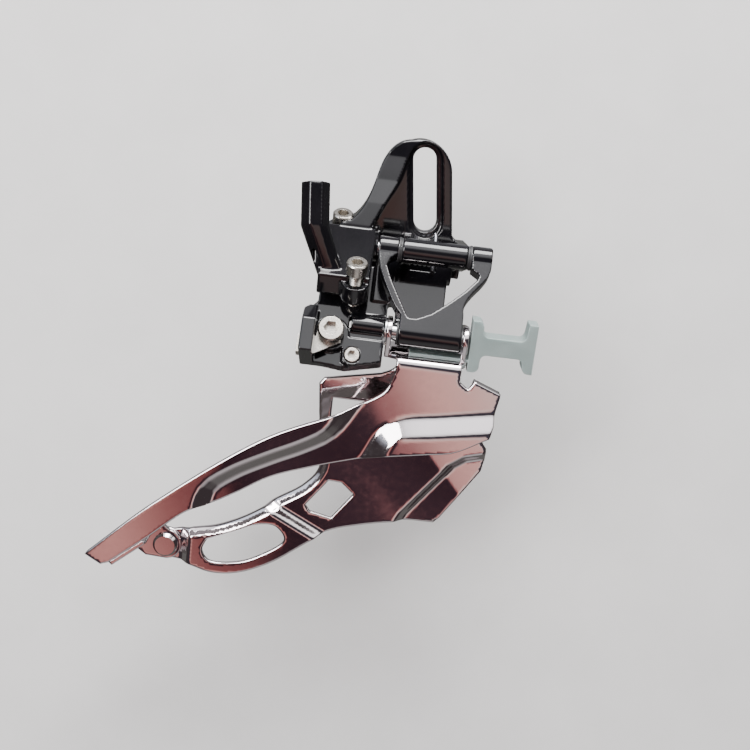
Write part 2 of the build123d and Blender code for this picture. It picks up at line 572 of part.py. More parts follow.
# ---------------------------------------------------------------- outer cage plate
TAIL_FACE = OUTER_FACE - STEP
STEP_BAND = 3.6                # width of the outer plate's sloped bands
TAIL_STEP = [(-43.6, -80.0), (-41.7, -70.6), (-36.6, -66.0), (-28.2, -61.2), (-21.0, -57.5), (-15.3, -53.6),
             (-10.8, -46.0)]
PAD_STEP = [(-7.0, -63.0), (-4.7, -57.6), (-2.4, -52.7), (0.4, -50.7), (9.4, -48.9), (24.0, -46.2)]
RIVET_X = (1.5, 8.5)           # the two rivets through the bridge and the inner plate's flange
RIVET_Y = -27.0
RIVET_R = 1.25
TAIL_RIVET = (-52.8, -91.5)
TAIL_RIVET_R = 1.5
EYELET_R = 3.9
EYELET_FACE = INNER_FACE


def outer_face_y(x, z):
    """Outboard face of the outer cage plate: a main level, a prouder tail band and a prouder pad."""
    main_side = ramp(side_of(x, z, TAIL_STEP), STEP_BAND)
    pad_side = ramp(side_of(x, z, PAD_STEP), STEP_BAND)
    return TAIL_FACE + STEP * main_side - STEP * pad_side


with BuildPart() as outer_cage_plate:
    pressed_sheet(outer_face_y, (-71.0, 25.0), (-95.0, -33.5))
    with BuildSketch(Plane.XZ.offset(30.0)) as plate_shape:
        with BuildLine():
            Spline((-2.2, -37.6), (-4.1, -42.6), (-11.1, -47.2), (-30.0, -56.6), (-53.7, -75.0),
                   (-68.3, -89.0))
            Polyline((-68.3, -89.0), (-68.9, -89.9), (-65.1, -92.0), (-63.2, -91.3))
            Spline((-63.2, -91.3), (-55.0, -84.3), (-45.2, -75.8), (-41.6, -74.8), (-35.2, -71.1),
                   (-27.9, -66.4), (-18.7, -62.8), (-7.2, -59.0), (-2.3, -57.3))
            Spline((-2.3, -57.3), (7.0, -55.6), (13.0, -54.4), (20.6, -50.1))
            Polyline((20.6, -50.1), (21.3, -47.3), (21.2, -45.1), (21.9, -40.9), (21.9, -40.1), (15.7, -37.8),
                     (14.5, -39.8), (12.5, -38.4), (12.5, -36.2), (-2.2, -36.2), (-2.2, -37.6))
        make_face()
    extrude(amount=14.0, mode=Mode.INTERSECT)
    # the bend at the top, the bridge behind it and the two ears
    plate_back = OUTER_FACE + PLATE_THICK
    with BuildSketch(across(0, 0, x=-2.2)) as bend:
        with BuildLine():
            Line((OUTER_FACE, -37.0), (OUTER_FACE, BRIDGE_TOP - BEND_R))
            RadiusArc((OUTER_FACE, BRIDGE_TOP - BEND_R), (OUTER_FACE + BEND_R, BRIDGE_TOP), BEND_R)
            Polyline((OUTER_FACE + BEND_R, BRIDGE_TOP), (-32.0, BRIDGE_TOP),
                     (-32.0, BRIDGE_TOP - PLATE_THICK), (OUTER_FACE + BEND_R, BRIDGE_TOP - PLATE_THICK))
            RadiusArc((OUTER_FACE + BEND_R, BRIDGE_TOP - PLATE_THICK), (plate_back, BRIDGE_TOP - BEND_R),
                      -(BEND_R - PLATE_THICK))
            Polyline((plate_back, BRIDGE_TOP - BEND_R), (plate_back, -37.0), (OUTER_FACE, -37.0))
        make_face()
    extrude(amount=14.7)
    with BuildSketch(Plane.XY.offset(BRIDGE_TOP)):
        with BuildLine():
            Polyline((-2.2, -34.4), (13.2, -34.4), (13.2, -20.6), (-5.2, -20.6), (-5.2, -33.0), (-2.2, -34.4))
        make_face()
    extrude(amount=-PLATE_THICK)
    for x_from, x_to in (REAR_EAR, FRONT_EAR):
        hull_ear(x_from, x_to, [
            (*OUTER_LOWER, CAGE_EAR_R), (*INNER_LOWER, CAGE_EAR_R),
            (-33.0, BRIDGE_TOP - PLATE_THICK / 2, PLATE_THICK / 2),
            (-21.3, BRIDGE_TOP - PLATE_THICK / 2, PLATE_THICK / 2),
        ])
        tube(x_from - 1, x_to + 1, OUTER_LOWER, PIN_R + FIT_GAP, mode=Mode.SUBTRACT)
        tube(x_from - 1, x_to + 1, INNER_LOWER, PIN_R + FIT_GAP, mode=Mode.SUBTRACT)
    side_block(FRONT_EAR[0] - 0.5, FRONT_EAR[1] + 0.5, [
        (-34.15, BRIDGE_TOP + 0.05), (-28.85, BRIDGE_TOP + 0.05), (-28.85, -33.0), (-34.15, -33.0),
    ], mode=Mode.SUBTRACT)
    # lip turned in along the front of the top edge
    front_block([(15.7, -37.8), (21.9, -40.1), (21.6, -41.3), (15.2, -38.9)],
                OUTER_FACE + 0.2, OUTER_FACE + 3.4)
    # tail: a flange that turns in below the plate and ends in the rivet's tab
    front_block([(-63.4, -91.2), (-55.6, -84.6), (-54.8, -85.5), (-62.6, -92.2)], TAIL_FACE + 0.4,
                EYELET_FACE)
    with BuildSketch(Plane.XZ.offset(-EYELET_FACE)) as tab:
        with Locations(TAIL_RIVET):
            Circle(EYELET_R)
        with BuildLine():
            Polyline((-63.4, -91.2), (-55.6, -84.6), (-50.5, -88.5), (-52.8, -95.2), (-57.6, -95.2),
                     (-63.4, -91.2))
        make_face()
    extrude(amount=PLATE_THICK)
    with BuildSketch(Plane.XZ.offset(15.0)):
        with Locations(TAIL_RIVET):
            Circle(TAIL_RIVET_R + FIT_GAP)
    extrude(amount=10.0, mode=Mode.SUBTRACT)
    with BuildSketch(Plane.XY.offset(BRIDGE_TOP + 1)):
        with Locations([(x, RIVET_Y) for x in RIVET_X]):
            Circle(RIVET_R + FIT_GAP)
    extrude(amount=-4.0, mode=Mode.SUBTRACT)
outer_cage_plate.part.label = "outer_cage_plate"

# ---------------------------------------------------------------- inner cage plate
ARM_STEP = 2.0                 # the lower arm stands this far outboard of the front
POCKET = 1.8                   # depth of the front-lower pocket
ARM_AREA = [(-49.0, -80.0), (-34.0, -74.0), (-28.4, -77.2), (-15.4, -83.6), (-8.0, -86.5), (-8.0, -102.0),
            (-49.0, -102.0)]
POCKET_AREA = [(0.0, -84.0), (3.4, -76.4), (13.6, -62.4), (17.0, -59.9), (28.0, -56.8), (28.0, -84.0)]


with BuildPart() as inner_cage_plate:
    with BuildSketch(Plane.XZ.offset(-INNER_FACE)) as sheet:
        with Locations((-17.0, -66.0)):
            Rectangle(100.0, 74.0)
    extrude(amount=-PLATE_THICK)
    pressed_area(ARM_AREA, INNER_FACE, -ARM_STEP)
    pressed_area(POCKET_AREA, INNER_FACE, POCKET)
    eyelet_foot = (TAIL_RIVET[0], TAIL_RIVET[1] - EYELET_R)
    eyelet_top = (TAIL_RIVET[0], TAIL_RIVET[1] + EYELET_R)
    with BuildSketch(Plane.XZ.offset(15.0)) as plate_shape:
        with BuildLine():
            Line((-1.0, -36.3), (11.6, -36.3))
            Spline((11.6, -36.3), (12.4, -44.0), (17.0, -50.6), (22.0, -57.4))
            Polyline((22.0, -57.4), (22.2, -60.4), (21.7, -63.7), (13.3, -77.2), (12.0, -78.6))
            Spline((12.0, -78.6), (3.4, -79.0), (-5.7, -80.9), (-14.3, -83.9), (-26.8, -93.1),
                   (-34.7, -96.7), (-41.0, -97.4), (-46.8, -96.0))
            Line((-46.8, -96.0), eyelet_foot)
            ThreePointArc(eyelet_foot, (TAIL_RIVET[0] - EYELET_R, TAIL_RIVET[1]), eyelet_top)
            Line(eyelet_top, (-46.4, -86.5))
            Spline((-46.4, -86.5), (-41.0, -85.2), (-34.6, -82.2), (-27.0, -77.0), (-20.4, -72.2),
                   (-17.4, -67.4), (-18.8, -53.2), (-19.5, -46.2))
            Polyline((-19.5, -46.2), (-18.3, -44.6), (-5.2, -41.9))
            Spline((-5.2, -41.9), (-2.4, -40.4), (-1.0, -36.3))
        make_face()
        with BuildLine():
            Spline((-42.6, -88.6), (-36.0, -85.6), (-30.5, -83.2), (-26.3, -83.2), (-23.9, -86.4),
                   (-29.7, -91.4), (-35.2, -93.8), (-41.9, -94.1), (-43.6, -91.6), (-42.6, -88.6))
        make_face(mode=Mode.SUBTRACT)
        with BuildLine():
            Polyline((-19.6, -77.3), (-14.6, -70.4), (-11.5, -70.6), (-8.4, -73.2), (-13.2, -79.9),
                     (-18.5, -78.8), close=True)
        make_face(mode=Mode.SUBTRACT)
        with BuildLine():
            Polyline((-15.8, -49.4), (-8.0, -49.4), (-8.0, -55.0), (-15.8, -55.0), close=True)
        make_face(mode=Mode.SUBTRACT)
    extrude(amount=15.0, mode=Mode.INTERSECT)
    # flange under the bridge
    side_block(-1.0, 11.6, [
        (INNER_FACE, -37.0), (INNER_FACE + PLATE_THICK, -37.0), (INNER_FACE + PLATE_THICK, BRIDGE_TOP - 1.24),
        (-30.0, BRIDGE_TOP - 1.24), (-30.0, BRIDGE_TOP - 2.44), (INNER_FACE, BRIDGE_TOP - 2.44),
    ])
    with BuildSketch(Plane.XZ.offset(15.0)):
        with Locations(TAIL_RIVET):
            Circle(TAIL_RIVET_R + FIT_GAP)
    extrude(amount=10.0, mode=Mode.SUBTRACT)
    with BuildSketch(Plane.XY.offset(BRIDGE_TOP + 1)):
        with Locations([(x, RIVET_Y) for x in RIVET_X]):
            Circle(RIVET_R + FIT_GAP)
    extrude(amount=-5.0, mode=Mode.SUBTRACT)
inner_cage_plate.part.label = "inner_cage_plate"


with BuildPart() as tail_rivet:
    tail_plane = Plane(origin=(TAIL_RIVET[0], EYELET_FACE - PLATE_THICK, TAIL_RIVET[1]), x_dir=(1, 0, 0),
                       z_dir=(0, -1, 0))
    rivet(tail_plane, TAIL_RIVET_R, 3.05, 1.2, 2 * PLATE_THICK, 2.4, 0.8)
tail_rivet.part.label = "tail_rivet"

with BuildPart() as bridge_rivets:
    for x in RIVET_X:
        rivet(Plane(origin=(x, RIVET_Y, BRIDGE_TOP), x_dir=(1, 0, 0), z_dir=(0, 0, 1)),
              RIVET_R, 1.75, 0.6, 2 * PLATE_THICK + 0.04, 2.0, 0.7)
bridge_rivets.part.label = "bridge_rivets"

# ---------------------------------------------------------------- set-up wedge
WEDGE_FRONT = -34.4            # Y of the wedge's outboard face
WEDGE_THICK = 5.8

with BuildPart() as setup_wedge:
    with BuildSketch(Plane.XZ.offset(-WEDGE_FRONT)) as wedge_shape:
        with BuildLine():
            Polyline((13.75, -24.4), (16.3, -24.4), (16.3, -27.9), (25.9, -27.9), (26.3, -23.9), (28.3, -23.9),
                     (28.3, -35.2), (25.9, -35.2), (25.9, -32.0), (16.3, -32.0), (16.3, -36.2), (13.75, -36.2),
                     close=True)
        make_face()
        fillet(wedge_shape.vertices().filter_by(lambda corner: 16.0 < corner.X < 26.0), 1.4)
    extrude(amount=-WEDGE_THICK)
    side_block(0.4, 14.0, [(-33.9, -34.25), (-29.1, -34.25), (-29.1, -33.55), (-33.9, -33.55)])
setup_wedge.part.label = "setup_wedge"

os.makedirs("parts", exist_ok=True)
for piece in (
    mount_body, limit_screw_low, limit_screw_high, outer_upper_pin, inner_upper_pin, upper_pin_clip,
    outer_lower_pin, inner_lower_pin, lower_pin_clip, outer_upper_bushes, outer_upper_washers,
    outer_lower_bushes, inner_upper_bushes, return_spring, outer_link, inner_link, cable_clamp_bolt,
    cable_clamp_washer, cable_clamp_nut, arm_set_screw, outer_cage_plate, inner_cage_plate, tail_rivet,
    bridge_rivets, setup_wedge,
):
    export_step(piece.part, f"parts/{piece.part.label}.step")
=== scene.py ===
import json
import math

import bmesh
import bpy
import numpy as np
from mathutils import Matrix, Vector
from mathutils.geometry import delaunay_2d_cdt


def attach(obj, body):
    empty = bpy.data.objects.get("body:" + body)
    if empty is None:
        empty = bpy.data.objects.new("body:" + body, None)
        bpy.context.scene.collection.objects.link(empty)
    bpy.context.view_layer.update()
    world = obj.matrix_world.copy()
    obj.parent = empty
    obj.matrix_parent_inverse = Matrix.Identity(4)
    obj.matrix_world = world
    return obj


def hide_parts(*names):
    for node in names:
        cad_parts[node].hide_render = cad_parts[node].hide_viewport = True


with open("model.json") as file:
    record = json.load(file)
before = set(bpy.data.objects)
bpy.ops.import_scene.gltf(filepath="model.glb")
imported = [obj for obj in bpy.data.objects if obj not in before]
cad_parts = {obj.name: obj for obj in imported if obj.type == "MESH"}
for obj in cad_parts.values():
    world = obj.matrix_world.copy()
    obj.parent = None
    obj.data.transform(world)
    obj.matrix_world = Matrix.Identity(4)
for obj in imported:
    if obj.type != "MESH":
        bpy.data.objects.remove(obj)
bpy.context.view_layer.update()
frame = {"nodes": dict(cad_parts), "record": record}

# The looks of the front derailleur. The castings, pins and screws are the CAD nodes with
# softened edges; the two cage plates are pressed here from sheet, in millimetres.
MM = 0.001

# ---------------------------------------------------------------- camera
CAMERA_TILT = math.radians(15)      # looks down by this much
CAMERA_ROLL = math.radians(7)
CAMERA_PLACE = Vector((-6.6, -274.2, 24.7)) * MM
CAMERA_LENS = 52.8                  # millimetres, on a sensor 36 wide
CAMERA_SENSOR = 36.0
CAMERA_NEAR = 10.0 * MM


def add_camera():
    """Adds the camera, tilted down and rolled, and returns its line of sight."""
    cos_roll, sin_roll = math.cos(CAMERA_ROLL), math.sin(CAMERA_ROLL)
    cos_tilt, sin_tilt = math.cos(CAMERA_TILT), math.sin(CAMERA_TILT)
    right = Vector((cos_roll, sin_roll * sin_tilt, sin_roll * cos_tilt))
    up = Vector((-sin_roll, cos_roll * sin_tilt, cos_roll * cos_tilt))
    ahead = Vector((0, cos_tilt, -sin_tilt))
    data = bpy.data.cameras.new("camera")
    data.sensor_width = CAMERA_SENSOR
    data.lens = CAMERA_LENS
    data.clip_start = CAMERA_NEAR
    camera = bpy.data.objects.new("camera", data)
    bpy.context.collection.objects.link(camera)
    turn = Matrix((right, up, -ahead)).transposed()
    camera.matrix_world = Matrix.Translation(CAMERA_PLACE) @ turn.to_4x4()
    bpy.context.scene.camera = camera
    return ahead


# ---------------------------------------------------------------- materials
WEAR_RADIUS = 0.3 * MM              # how far wear reaches in from a sharp edge
BUMP_HEIGHT = 0.02 * MM
FINE_GRAIN = 12.0                   # the fine noise is this much finer than the patches


def new_material(name):
    """A node material, with its nodes and links."""
    material = bpy.data.materials.new(name)
    material.use_nodes = True
    return material, material.node_tree.nodes, material.node_tree.links


def noise(nodes, links, scale, detail=4.0, rough=0.6):
    """Noise over object space; scale is in features per metre."""
    place = nodes.new("ShaderNodeTexCoord")
    texture = nodes.new("ShaderNodeTexNoise")
    texture.inputs["Scale"].default_value = scale
    texture.inputs["Detail"].default_value = detail
    texture.inputs["Roughness"].default_value = rough
    links.new(place.outputs["Object"], texture.inputs["Vector"])
    return texture.outputs["Fac"]


def spread(nodes, links, value, low, high, out_low, out_high):
    """Maps a value from one range to another, clamped."""
    step = nodes.new("ShaderNodeMapRange")
    step.inputs["From Min"].default_value = low
    step.inputs["From Max"].default_value = high
    step.inputs["To Min"].default_value = out_low
    step.inputs["To Max"].default_value = out_high
    links.new(value, step.inputs["Value"])
    return step.outputs["Result"]


def mix_color(nodes, links, fac, first, second):
    """A mix of two colours; each may be a colour or a socket."""
    mix = nodes.new("ShaderNodeMix")
    mix.data_type = "RGBA"
    links.new(fac, mix.inputs["Factor"])
    for value, socket in ((first, mix.inputs["A"]), (second, mix.inputs["B"])):
        if isinstance(value, tuple):
            socket.default_value = (*value, 1.0)
        else:
            links.new(value, socket)
    return mix.outputs["Result"]


def edge_mask(nodes, links, radius, low=0.02, high=0.25):
    """1 near sharp edges, 0 on open faces."""
    bevel = nodes.new("ShaderNodeBevel")
    bevel.samples = 4
    bevel.inputs["Radius"].default_value = radius
    flat = nodes.new("ShaderNodeNewGeometry")
    dot = nodes.new("ShaderNodeVectorMath")
    dot.operation = "DOT_PRODUCT"
    links.new(bevel.outputs["Normal"], dot.inputs[0])
    links.new(flat.outputs["Normal"], dot.inputs[1])
    return spread(nodes, links, dot.outputs["Value"], 1 - low, 1 - high, 0.0, 1.0)


def surface(name, color, second, metallic, rough, wear_color, wear, grain, bump, coat=0.0, bevel=0.0):
    """One finish: two colours mixed by noise, wear at the edges, uneven roughness and a fine bump.

    rough is the lowest and highest roughness, grain the patches' scale in features per metre,
    wear how much of the wear colour shows at the edges, bevel the radius of a drawn-in edge round.
    """
    material, nodes, links = new_material(name)
    shader = nodes["Principled BSDF"]
    patches = noise(nodes, links, grain)
    body = mix_color(nodes, links, spread(nodes, links, patches, 0.35, 0.65, 0.0, 1.0), color, second)
    fine = noise(nodes, links, grain * FINE_GRAIN)
    edges = edge_mask(nodes, links, WEAR_RADIUS)
    scuffs = nodes.new("ShaderNodeMath")
    scuffs.operation = "MULTIPLY"
    links.new(edges, scuffs.inputs[0])
    links.new(spread(nodes, links, fine, 0.42, 0.6, 0.0, wear), scuffs.inputs[1])
    worn = mix_color(nodes, links, scuffs.outputs["Value"], body, wear_color)
    links.new(worn, shader.inputs["Base Color"])
    shader.inputs["Metallic"].default_value = metallic
    links.new(spread(nodes, links, fine, 0.3, 0.7, rough[0], rough[1]), shader.inputs["Roughness"])
    shader.inputs["Coat Weight"].default_value = coat
    shader.inputs["Coat Roughness"].default_value = 0.03
    bumps = nodes.new("ShaderNodeBump")
    bumps.inputs["Strength"].default_value = bump
    bumps.inputs["Distance"].default_value = BUMP_HEIGHT
    links.new(fine, bumps.inputs["Height"])
    if bevel:
        round_edge = nodes.new("ShaderNodeBevel")
        round_edge.samples = 6
        round_edge.inputs["Radius"].default_value = bevel
        links.new(round_edge.outputs["Normal"], bumps.inputs["Normal"])
    links.new(bumps.outputs["Normal"], shader.inputs["Normal"])
    return material


def black_paint():
    return surface("black_gloss_paint", (0.0035, 0.0035, 0.0045), (0.006, 0.0055, 0.007), 0.0,
                   (0.06, 0.13), (0.05, 0.05, 0.055), 0.12, 140.0, 0.06, coat=0.35)


def chrome():
    return surface("chrome_plate", (0.80, 0.74, 0.75), (0.74, 0.68, 0.70), 1.0, (0.045, 0.10),
                   (0.9, 0.88, 0.88), 0.5, 60.0, 0.03)


def screw_steel():
    return surface("steel_fasteners", (0.62, 0.58, 0.52), (0.52, 0.49, 0.45), 1.0, (0.18, 0.34),
                   (0.85, 0.83, 0.80), 0.7, 300.0, 0.25, bevel=0.12 * MM)


def pin_steel():
    return surface("pin_steel", (0.66, 0.66, 0.67), (0.56, 0.56, 0.58), 1.0, (0.12, 0.26),
                   (0.85, 0.85, 0.85), 0.7, 300.0, 0.2, bevel=0.12 * MM)


def spring_steel():
    return surface("spring_steel", (0.30, 0.30, 0.32), (0.20, 0.20, 0.22), 1.0, (0.25, 0.4),
                   (0.5, 0.5, 0.5), 0.5, 500.0, 0.3)


def bush_polymer():
    return surface("bush_polymer", (0.02, 0.02, 0.022), (0.035, 0.035, 0.038), 0.0, (0.45, 0.6),
                   (0.08, 0.08, 0.08), 0.4, 400.0, 0.4, bevel=0.1 * MM)


def milky_plastic():
    """Translucent moulded plastic: light passes into it and scatters."""
    material = surface("milky_plastic", (0.30, 0.37, 0.36), (0.35, 0.42, 0.41), 0.0, (0.28, 0.42),
                       (0.70, 0.78, 0.76), 0.5, 200.0, 0.25, bevel=0.25 * MM)
    shader = material.node_tree.nodes["Principled BSDF"]
    shader.inputs["Subsurface Weight"].default_value = 0.8
    shader.inputs["Subsurface Radius"].default_value = (1.0, 1.0, 1.0)
    shader.inputs["Subsurface Scale"].default_value = 1.5 * MM
    shader.inputs["Transmission Weight"].default_value = 0.25
    shader.inputs["IOR"].default_value = 1.49
    return material


FINISHES = {
    "black_gloss_paint": black_paint(),
    "chrome_plate": chrome(),
    "steel_fasteners": screw_steel(),
    "pin_steel": pin_steel(),
    "spring_steel": spring_steel(),
    "bush_polymer": bush_polymer(),
    "milky_plastic": milky_plastic(),
}


def paint_nodes():
    """Every CAD node takes the finish that the record names for it."""
    for entry in frame["record"]["subparts"]:
        node = frame["nodes"][entry["node"]]
        finish = FINISHES[entry["material_slot"]]
        for slot in node.material_slots:
            slot.material = finish
        if not node.material_slots:
            node.data.materials.append(finish)


# ---------------------------------------------------------------- softened castings
def soften(node_name, voxel, rounds):
    """Rounds a casting's edges: an even mesh over the CAD solid, then smoothed a little."""
    node = frame["nodes"][node_name]
    remesh = node.modifiers.new("even_mesh", "REMESH")
    remesh.mode = "VOXEL"
    remesh.voxel_size = voxel
    remesh.use_smooth_shade = True
    smooth = node.modifiers.new("soft_edges", "SMOOTH")
    smooth.factor = 0.5
    smooth.iterations = rounds


def break_edges(node_name, width):
    """Small rounded edges on a turned or stamped piece."""
    bevel = frame["nodes"][node_name].modifiers.new("broken_edges", "BEVEL")
    bevel.width = width
    bevel.segments = 2
    bevel.limit_method = "ANGLE"
    bevel.angle_limit = math.radians(40)
    bevel.harden_normals = False


# ---------------------------------------------------------------- pressed sheet metal
RING_STEPS = 3                      # facets across a rounded sheet edge
SAME_POINT = 0.05                   # points of an outline nearer than this are one point


def smooth_run(points, step=0.5):
    """Points along a smooth curve through the given ones."""
    given = np.array(points, float)
    ends = np.vstack([2 * given[0] - given[1], given, 2 * given[-1] - given[-2]])
    out = []
    for p0, p1, p2, p3 in zip(ends, ends[1:], ends[2:], ends[3:]):
        t01 = np.linalg.norm(p1 - p0) ** 0.5
        t12 = np.linalg.norm(p2 - p1) ** 0.5
        t23 = np.linalg.norm(p3 - p2) ** 0.5
        m1 = (p2 - p1) + t12 * ((p1 - p0) / t01 - (p2 - p0) / (t01 + t12))
        m2 = (p2 - p1) + t12 * ((p3 - p2) / t23 - (p3 - p1) / (t12 + t23))
        count = max(1, round(np.linalg.norm(p2 - p1) / step))
        for t in np.arange(count) / count:
            out.append((2 * t ** 3 - 3 * t ** 2 + 1) * p1 + (t ** 3 - 2 * t ** 2 + t) * m1
                       + (3 * t ** 2 - 2 * t ** 3) * p2 + (t ** 3 - t ** 2) * m2)
    return [tuple(p) for p in out] + [tuple(given[-1])]


def arc_run(centre, radius, start, end, step=0.6):
    """Points along an arc, angles in degrees."""
    count = max(3, round(abs(math.radians(end - start)) * radius / step))
    angles = [math.radians(start + (end - start) * i / count) for i in range(count + 1)]
    return [(centre[0] + radius * math.cos(a), centre[1] + radius * math.sin(a)) for a in angles]


def round_hole(centre, radius):
    """A closed circle of points."""
    return arc_run(centre, radius, 0, 345, 0.4)


def even_loop(points, step=0.5):
    """A closed loop with its corners kept and its long sides cut into short ones."""
    kept = [np.array(points[0], float)]
    for p in points[1:]:
        if np.linalg.norm(np.array(p) - kept[-1]) > SAME_POINT:
            kept.append(np.array(p, float))
    if np.linalg.norm(kept[0] - kept[-1]) < SAME_POINT:
        kept.pop()
    out = []
    for a, b in zip(kept, kept[1:] + kept[:1]):
        count = max(1, round(np.linalg.norm(b - a) / step))
        out += [a + (b - a) * i / count for i in range(count)]
    return np.array(out)


def turned(loop, left):
    """The loop, walked so that its inside lies on the left, or on the right."""
    x, z = loop[:, 0], loop[:, 1]
    area = np.sum(x * np.roll(z, -1) - np.roll(x, -1) * z)
    return loop if (area > 0) == left else loop[::-1]


def inset(loop, distance):
    """The loop moved to its left."""
    ahead = np.roll(loop, -1, axis=0) - loop
    ahead /= np.linalg.norm(ahead, axis=1)[:, None]
    normal = np.stack([-ahead[:, 1], ahead[:, 0]], axis=1)
    both = normal + np.roll(normal, 1, axis=0)
    both /= np.maximum(np.linalg.norm(both, axis=1)[:, None], 0.3)
    lean = np.maximum(np.sum(both * normal, axis=1), 0.5)
    return loop + both * (distance / lean)[:, None]


def inside(points, loop):
    """Which of the points lie inside the loop."""
    result = np.zeros(len(points), bool)
    for (x1, z1), (x2, z2) in zip(loop, np.roll(loop, -1, axis=0)):
        crosses = (z1 > points[:, 1]) != (z2 > points[:, 1])
        rise = z2 - z1 if z2 != z1 else 1e-12
        result ^= crosses & (points[:, 0] < x1 + (points[:, 1] - z1) * (x2 - x1) / rise)
    return result


def fill(loops, spacing):
    """Triangles over the area inside the first loop and outside the others, on an even grid."""
    low, high = loops[0].min(axis=0), loops[0].max(axis=0)
    across = np.arange(low[0], high[0], spacing)
    upward = np.arange(low[1], high[1], spacing)
    grid = np.array([(x + (j % 2) * spacing / 2, z) for j, z in enumerate(upward) for x in across])
    keep = inside(grid, inset(loops[0], spacing * 0.45))
    for hole in loops[1:]:
        keep &= ~inside(grid, inset(hole, spacing * 0.45))
    rim = np.vstack(loops)
    edges = []
    first = 0
    for loop in loops:
        edges += [(first + i, first + (i + 1) % len(loop)) for i in range(len(loop))]
        first += len(loop)
    points = [Vector(p) for p in rim] + [Vector(p) for p in grid[keep]]
    found = delaunay_2d_cdt(points, edges, [], 0, 1e-6)
    verts = np.array([tuple(v) for v in found[0]])
    source = [ids[0] if ids else -1 for ids in found[3]]
    faces = [tuple(face) for face in found[2]]
    centres = np.array([verts[list(face)].mean(axis=0) for face in faces])
    good = inside(centres, loops[0])
    for hole in loops[1:]:
        good &= ~inside(centres, hole)
    at_rim = {source_id: i for i, source_id in enumerate(source) if 0 <= source_id < len(rim)}
    return verts, [face for face, ok in zip(faces, good) if ok], at_rim


def sheet(outline, holes, thick, place, edge=0.35, spacing=0.8):
    """Sheet metal with rounded edges, as (points, faces). place(u, v, depth) puts it in space."""
    loops = [turned(even_loop(outline), True)] + [turned(even_loop(hole), False) for hole in holes]
    turns = [math.radians(90 * k / RING_STEPS) for k in range(RING_STEPS + 1)]
    verts, faces, at_rim = fill([inset(loop, edge) for loop in loops], spacing)
    count = len(verts)
    u, v = verts[:, 0], verts[:, 1]
    points = [place(u, v, np.zeros(count)), place(u, v, np.full(count, thick))]
    all_faces = list(faces) + [tuple(count + i for i in face[::-1]) for face in faces]
    first_rim = 0
    total = 2 * count
    for loop in loops:
        rows = [[at_rim[first_rim + i] for i in range(len(loop))]]
        front_rings = [(turn, edge * (1 - math.sin(turn))) for turn in turns[-2::-1]]
        back_rings = [(turn, thick - edge * (1 - math.sin(turn))) for turn in turns[:-1]]
        for turn, depth in front_rings + back_rings:
            ring = inset(loop, edge * (1 - math.cos(turn)))
            points.append(place(ring[:, 0], ring[:, 1], np.full(len(loop), depth)))
            rows.append(list(range(total, total + len(loop))))
            total += len(loop)
        rows.append([count + at_rim[first_rim + i] for i in range(len(loop))])
        for row, next_row in zip(rows, rows[1:]):
            for i in range(len(loop)):
                j = (i + 1) % len(loop)
                all_faces.append((row[i], next_row[i], next_row[j], row[j]))
        first_rim += len(loop)
    return np.vstack(points), all_faces


def build(name, shells, finish, body, stands_for):
    """One object from (points, faces) shells in millimetres, smooth shaded."""
    points = []
    faces = []
    for shell_points, shell_faces in shells:
        shift = len(points)
        points += [tuple(p * MM) for p in shell_points]
        faces += [tuple(i + shift for i in face) for face in shell_faces]
    mesh = bpy.data.meshes.new(name)
    mesh.from_pydata(points, [], faces)
    mesh.validate()
    edit = bmesh.new()
    edit.from_mesh(mesh)
    bmesh.ops.recalc_face_normals(edit, faces=edit.faces)
    edit.to_mesh(mesh)
    edit.free()
    for face in mesh.polygons:
        face.use_smooth = True
    mesh.materials.append(FINISHES[finish])
    piece = bpy.data.objects.new(name, mesh)
    bpy.context.collection.objects.link(piece)
    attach(piece, body)
    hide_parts(stands_for)
    return piece


def slope(distance, width, round_off=0.6):
    """A straight rise from 0 to 1 over a band centred on distance 0, rounded at both ends."""
    t = np.clip(distance / width + 0.5, -1.0, 2.0)
    soft = round_off / width
    low = np.where(np.abs(t) < soft, (t + soft) ** 2 / (4 * soft), np.maximum(t, 0.0))
    past = t - 1.0
    high = np.where(np.abs(past) < soft, (past + soft) ** 2 / (4 * soft), np.maximum(past, 0.0))
    return low - high


def side_of(x, z, line):
    """Distance from points to a polyline, positive on its right when walked from first to last."""
    best = np.full(np.shape(x), 1e9)
    for k, ((x1, z1), (x2, z2)) in enumerate(zip(line, line[1:])):
        dx, dz = x2 - x1, z2 - z1
        along = ((x - x1) * dx + (z - z1) * dz) / (dx * dx + dz * dz)
        if k > 0:
            along = np.maximum(0.0, along)
        if k < len(line) - 2:
            along = np.minimum(1.0, along)
        away_x, away_z = x - x1 - along * dx, z - z1 - along * dz
        distance = np.hypot(away_x, away_z)
        signed = np.where(away_x * dz - away_z * dx > 0, distance, -distance)
        best = np.where(distance < np.abs(best) - 1e-6, signed, best)
    return best


def depth_in(x, z, loop):
    """Distance from points to a closed polygon's edge, positive inside."""
    edge = np.full(np.shape(x), 1e9)
    closed = np.array(loop + loop[:1], float)
    for (x1, z1), (x2, z2) in zip(closed, closed[1:]):
        dx, dz = x2 - x1, z2 - z1
        along = np.clip(((x - x1) * dx + (z - z1) * dz) / (dx * dx + dz * dz), 0, 1)
        edge = np.minimum(edge, np.hypot(x - x1 - along * dx, z - z1 - along * dz))
    return np.where(inside(np.stack([x, z], axis=1), closed[:-1]), edge, -edge)


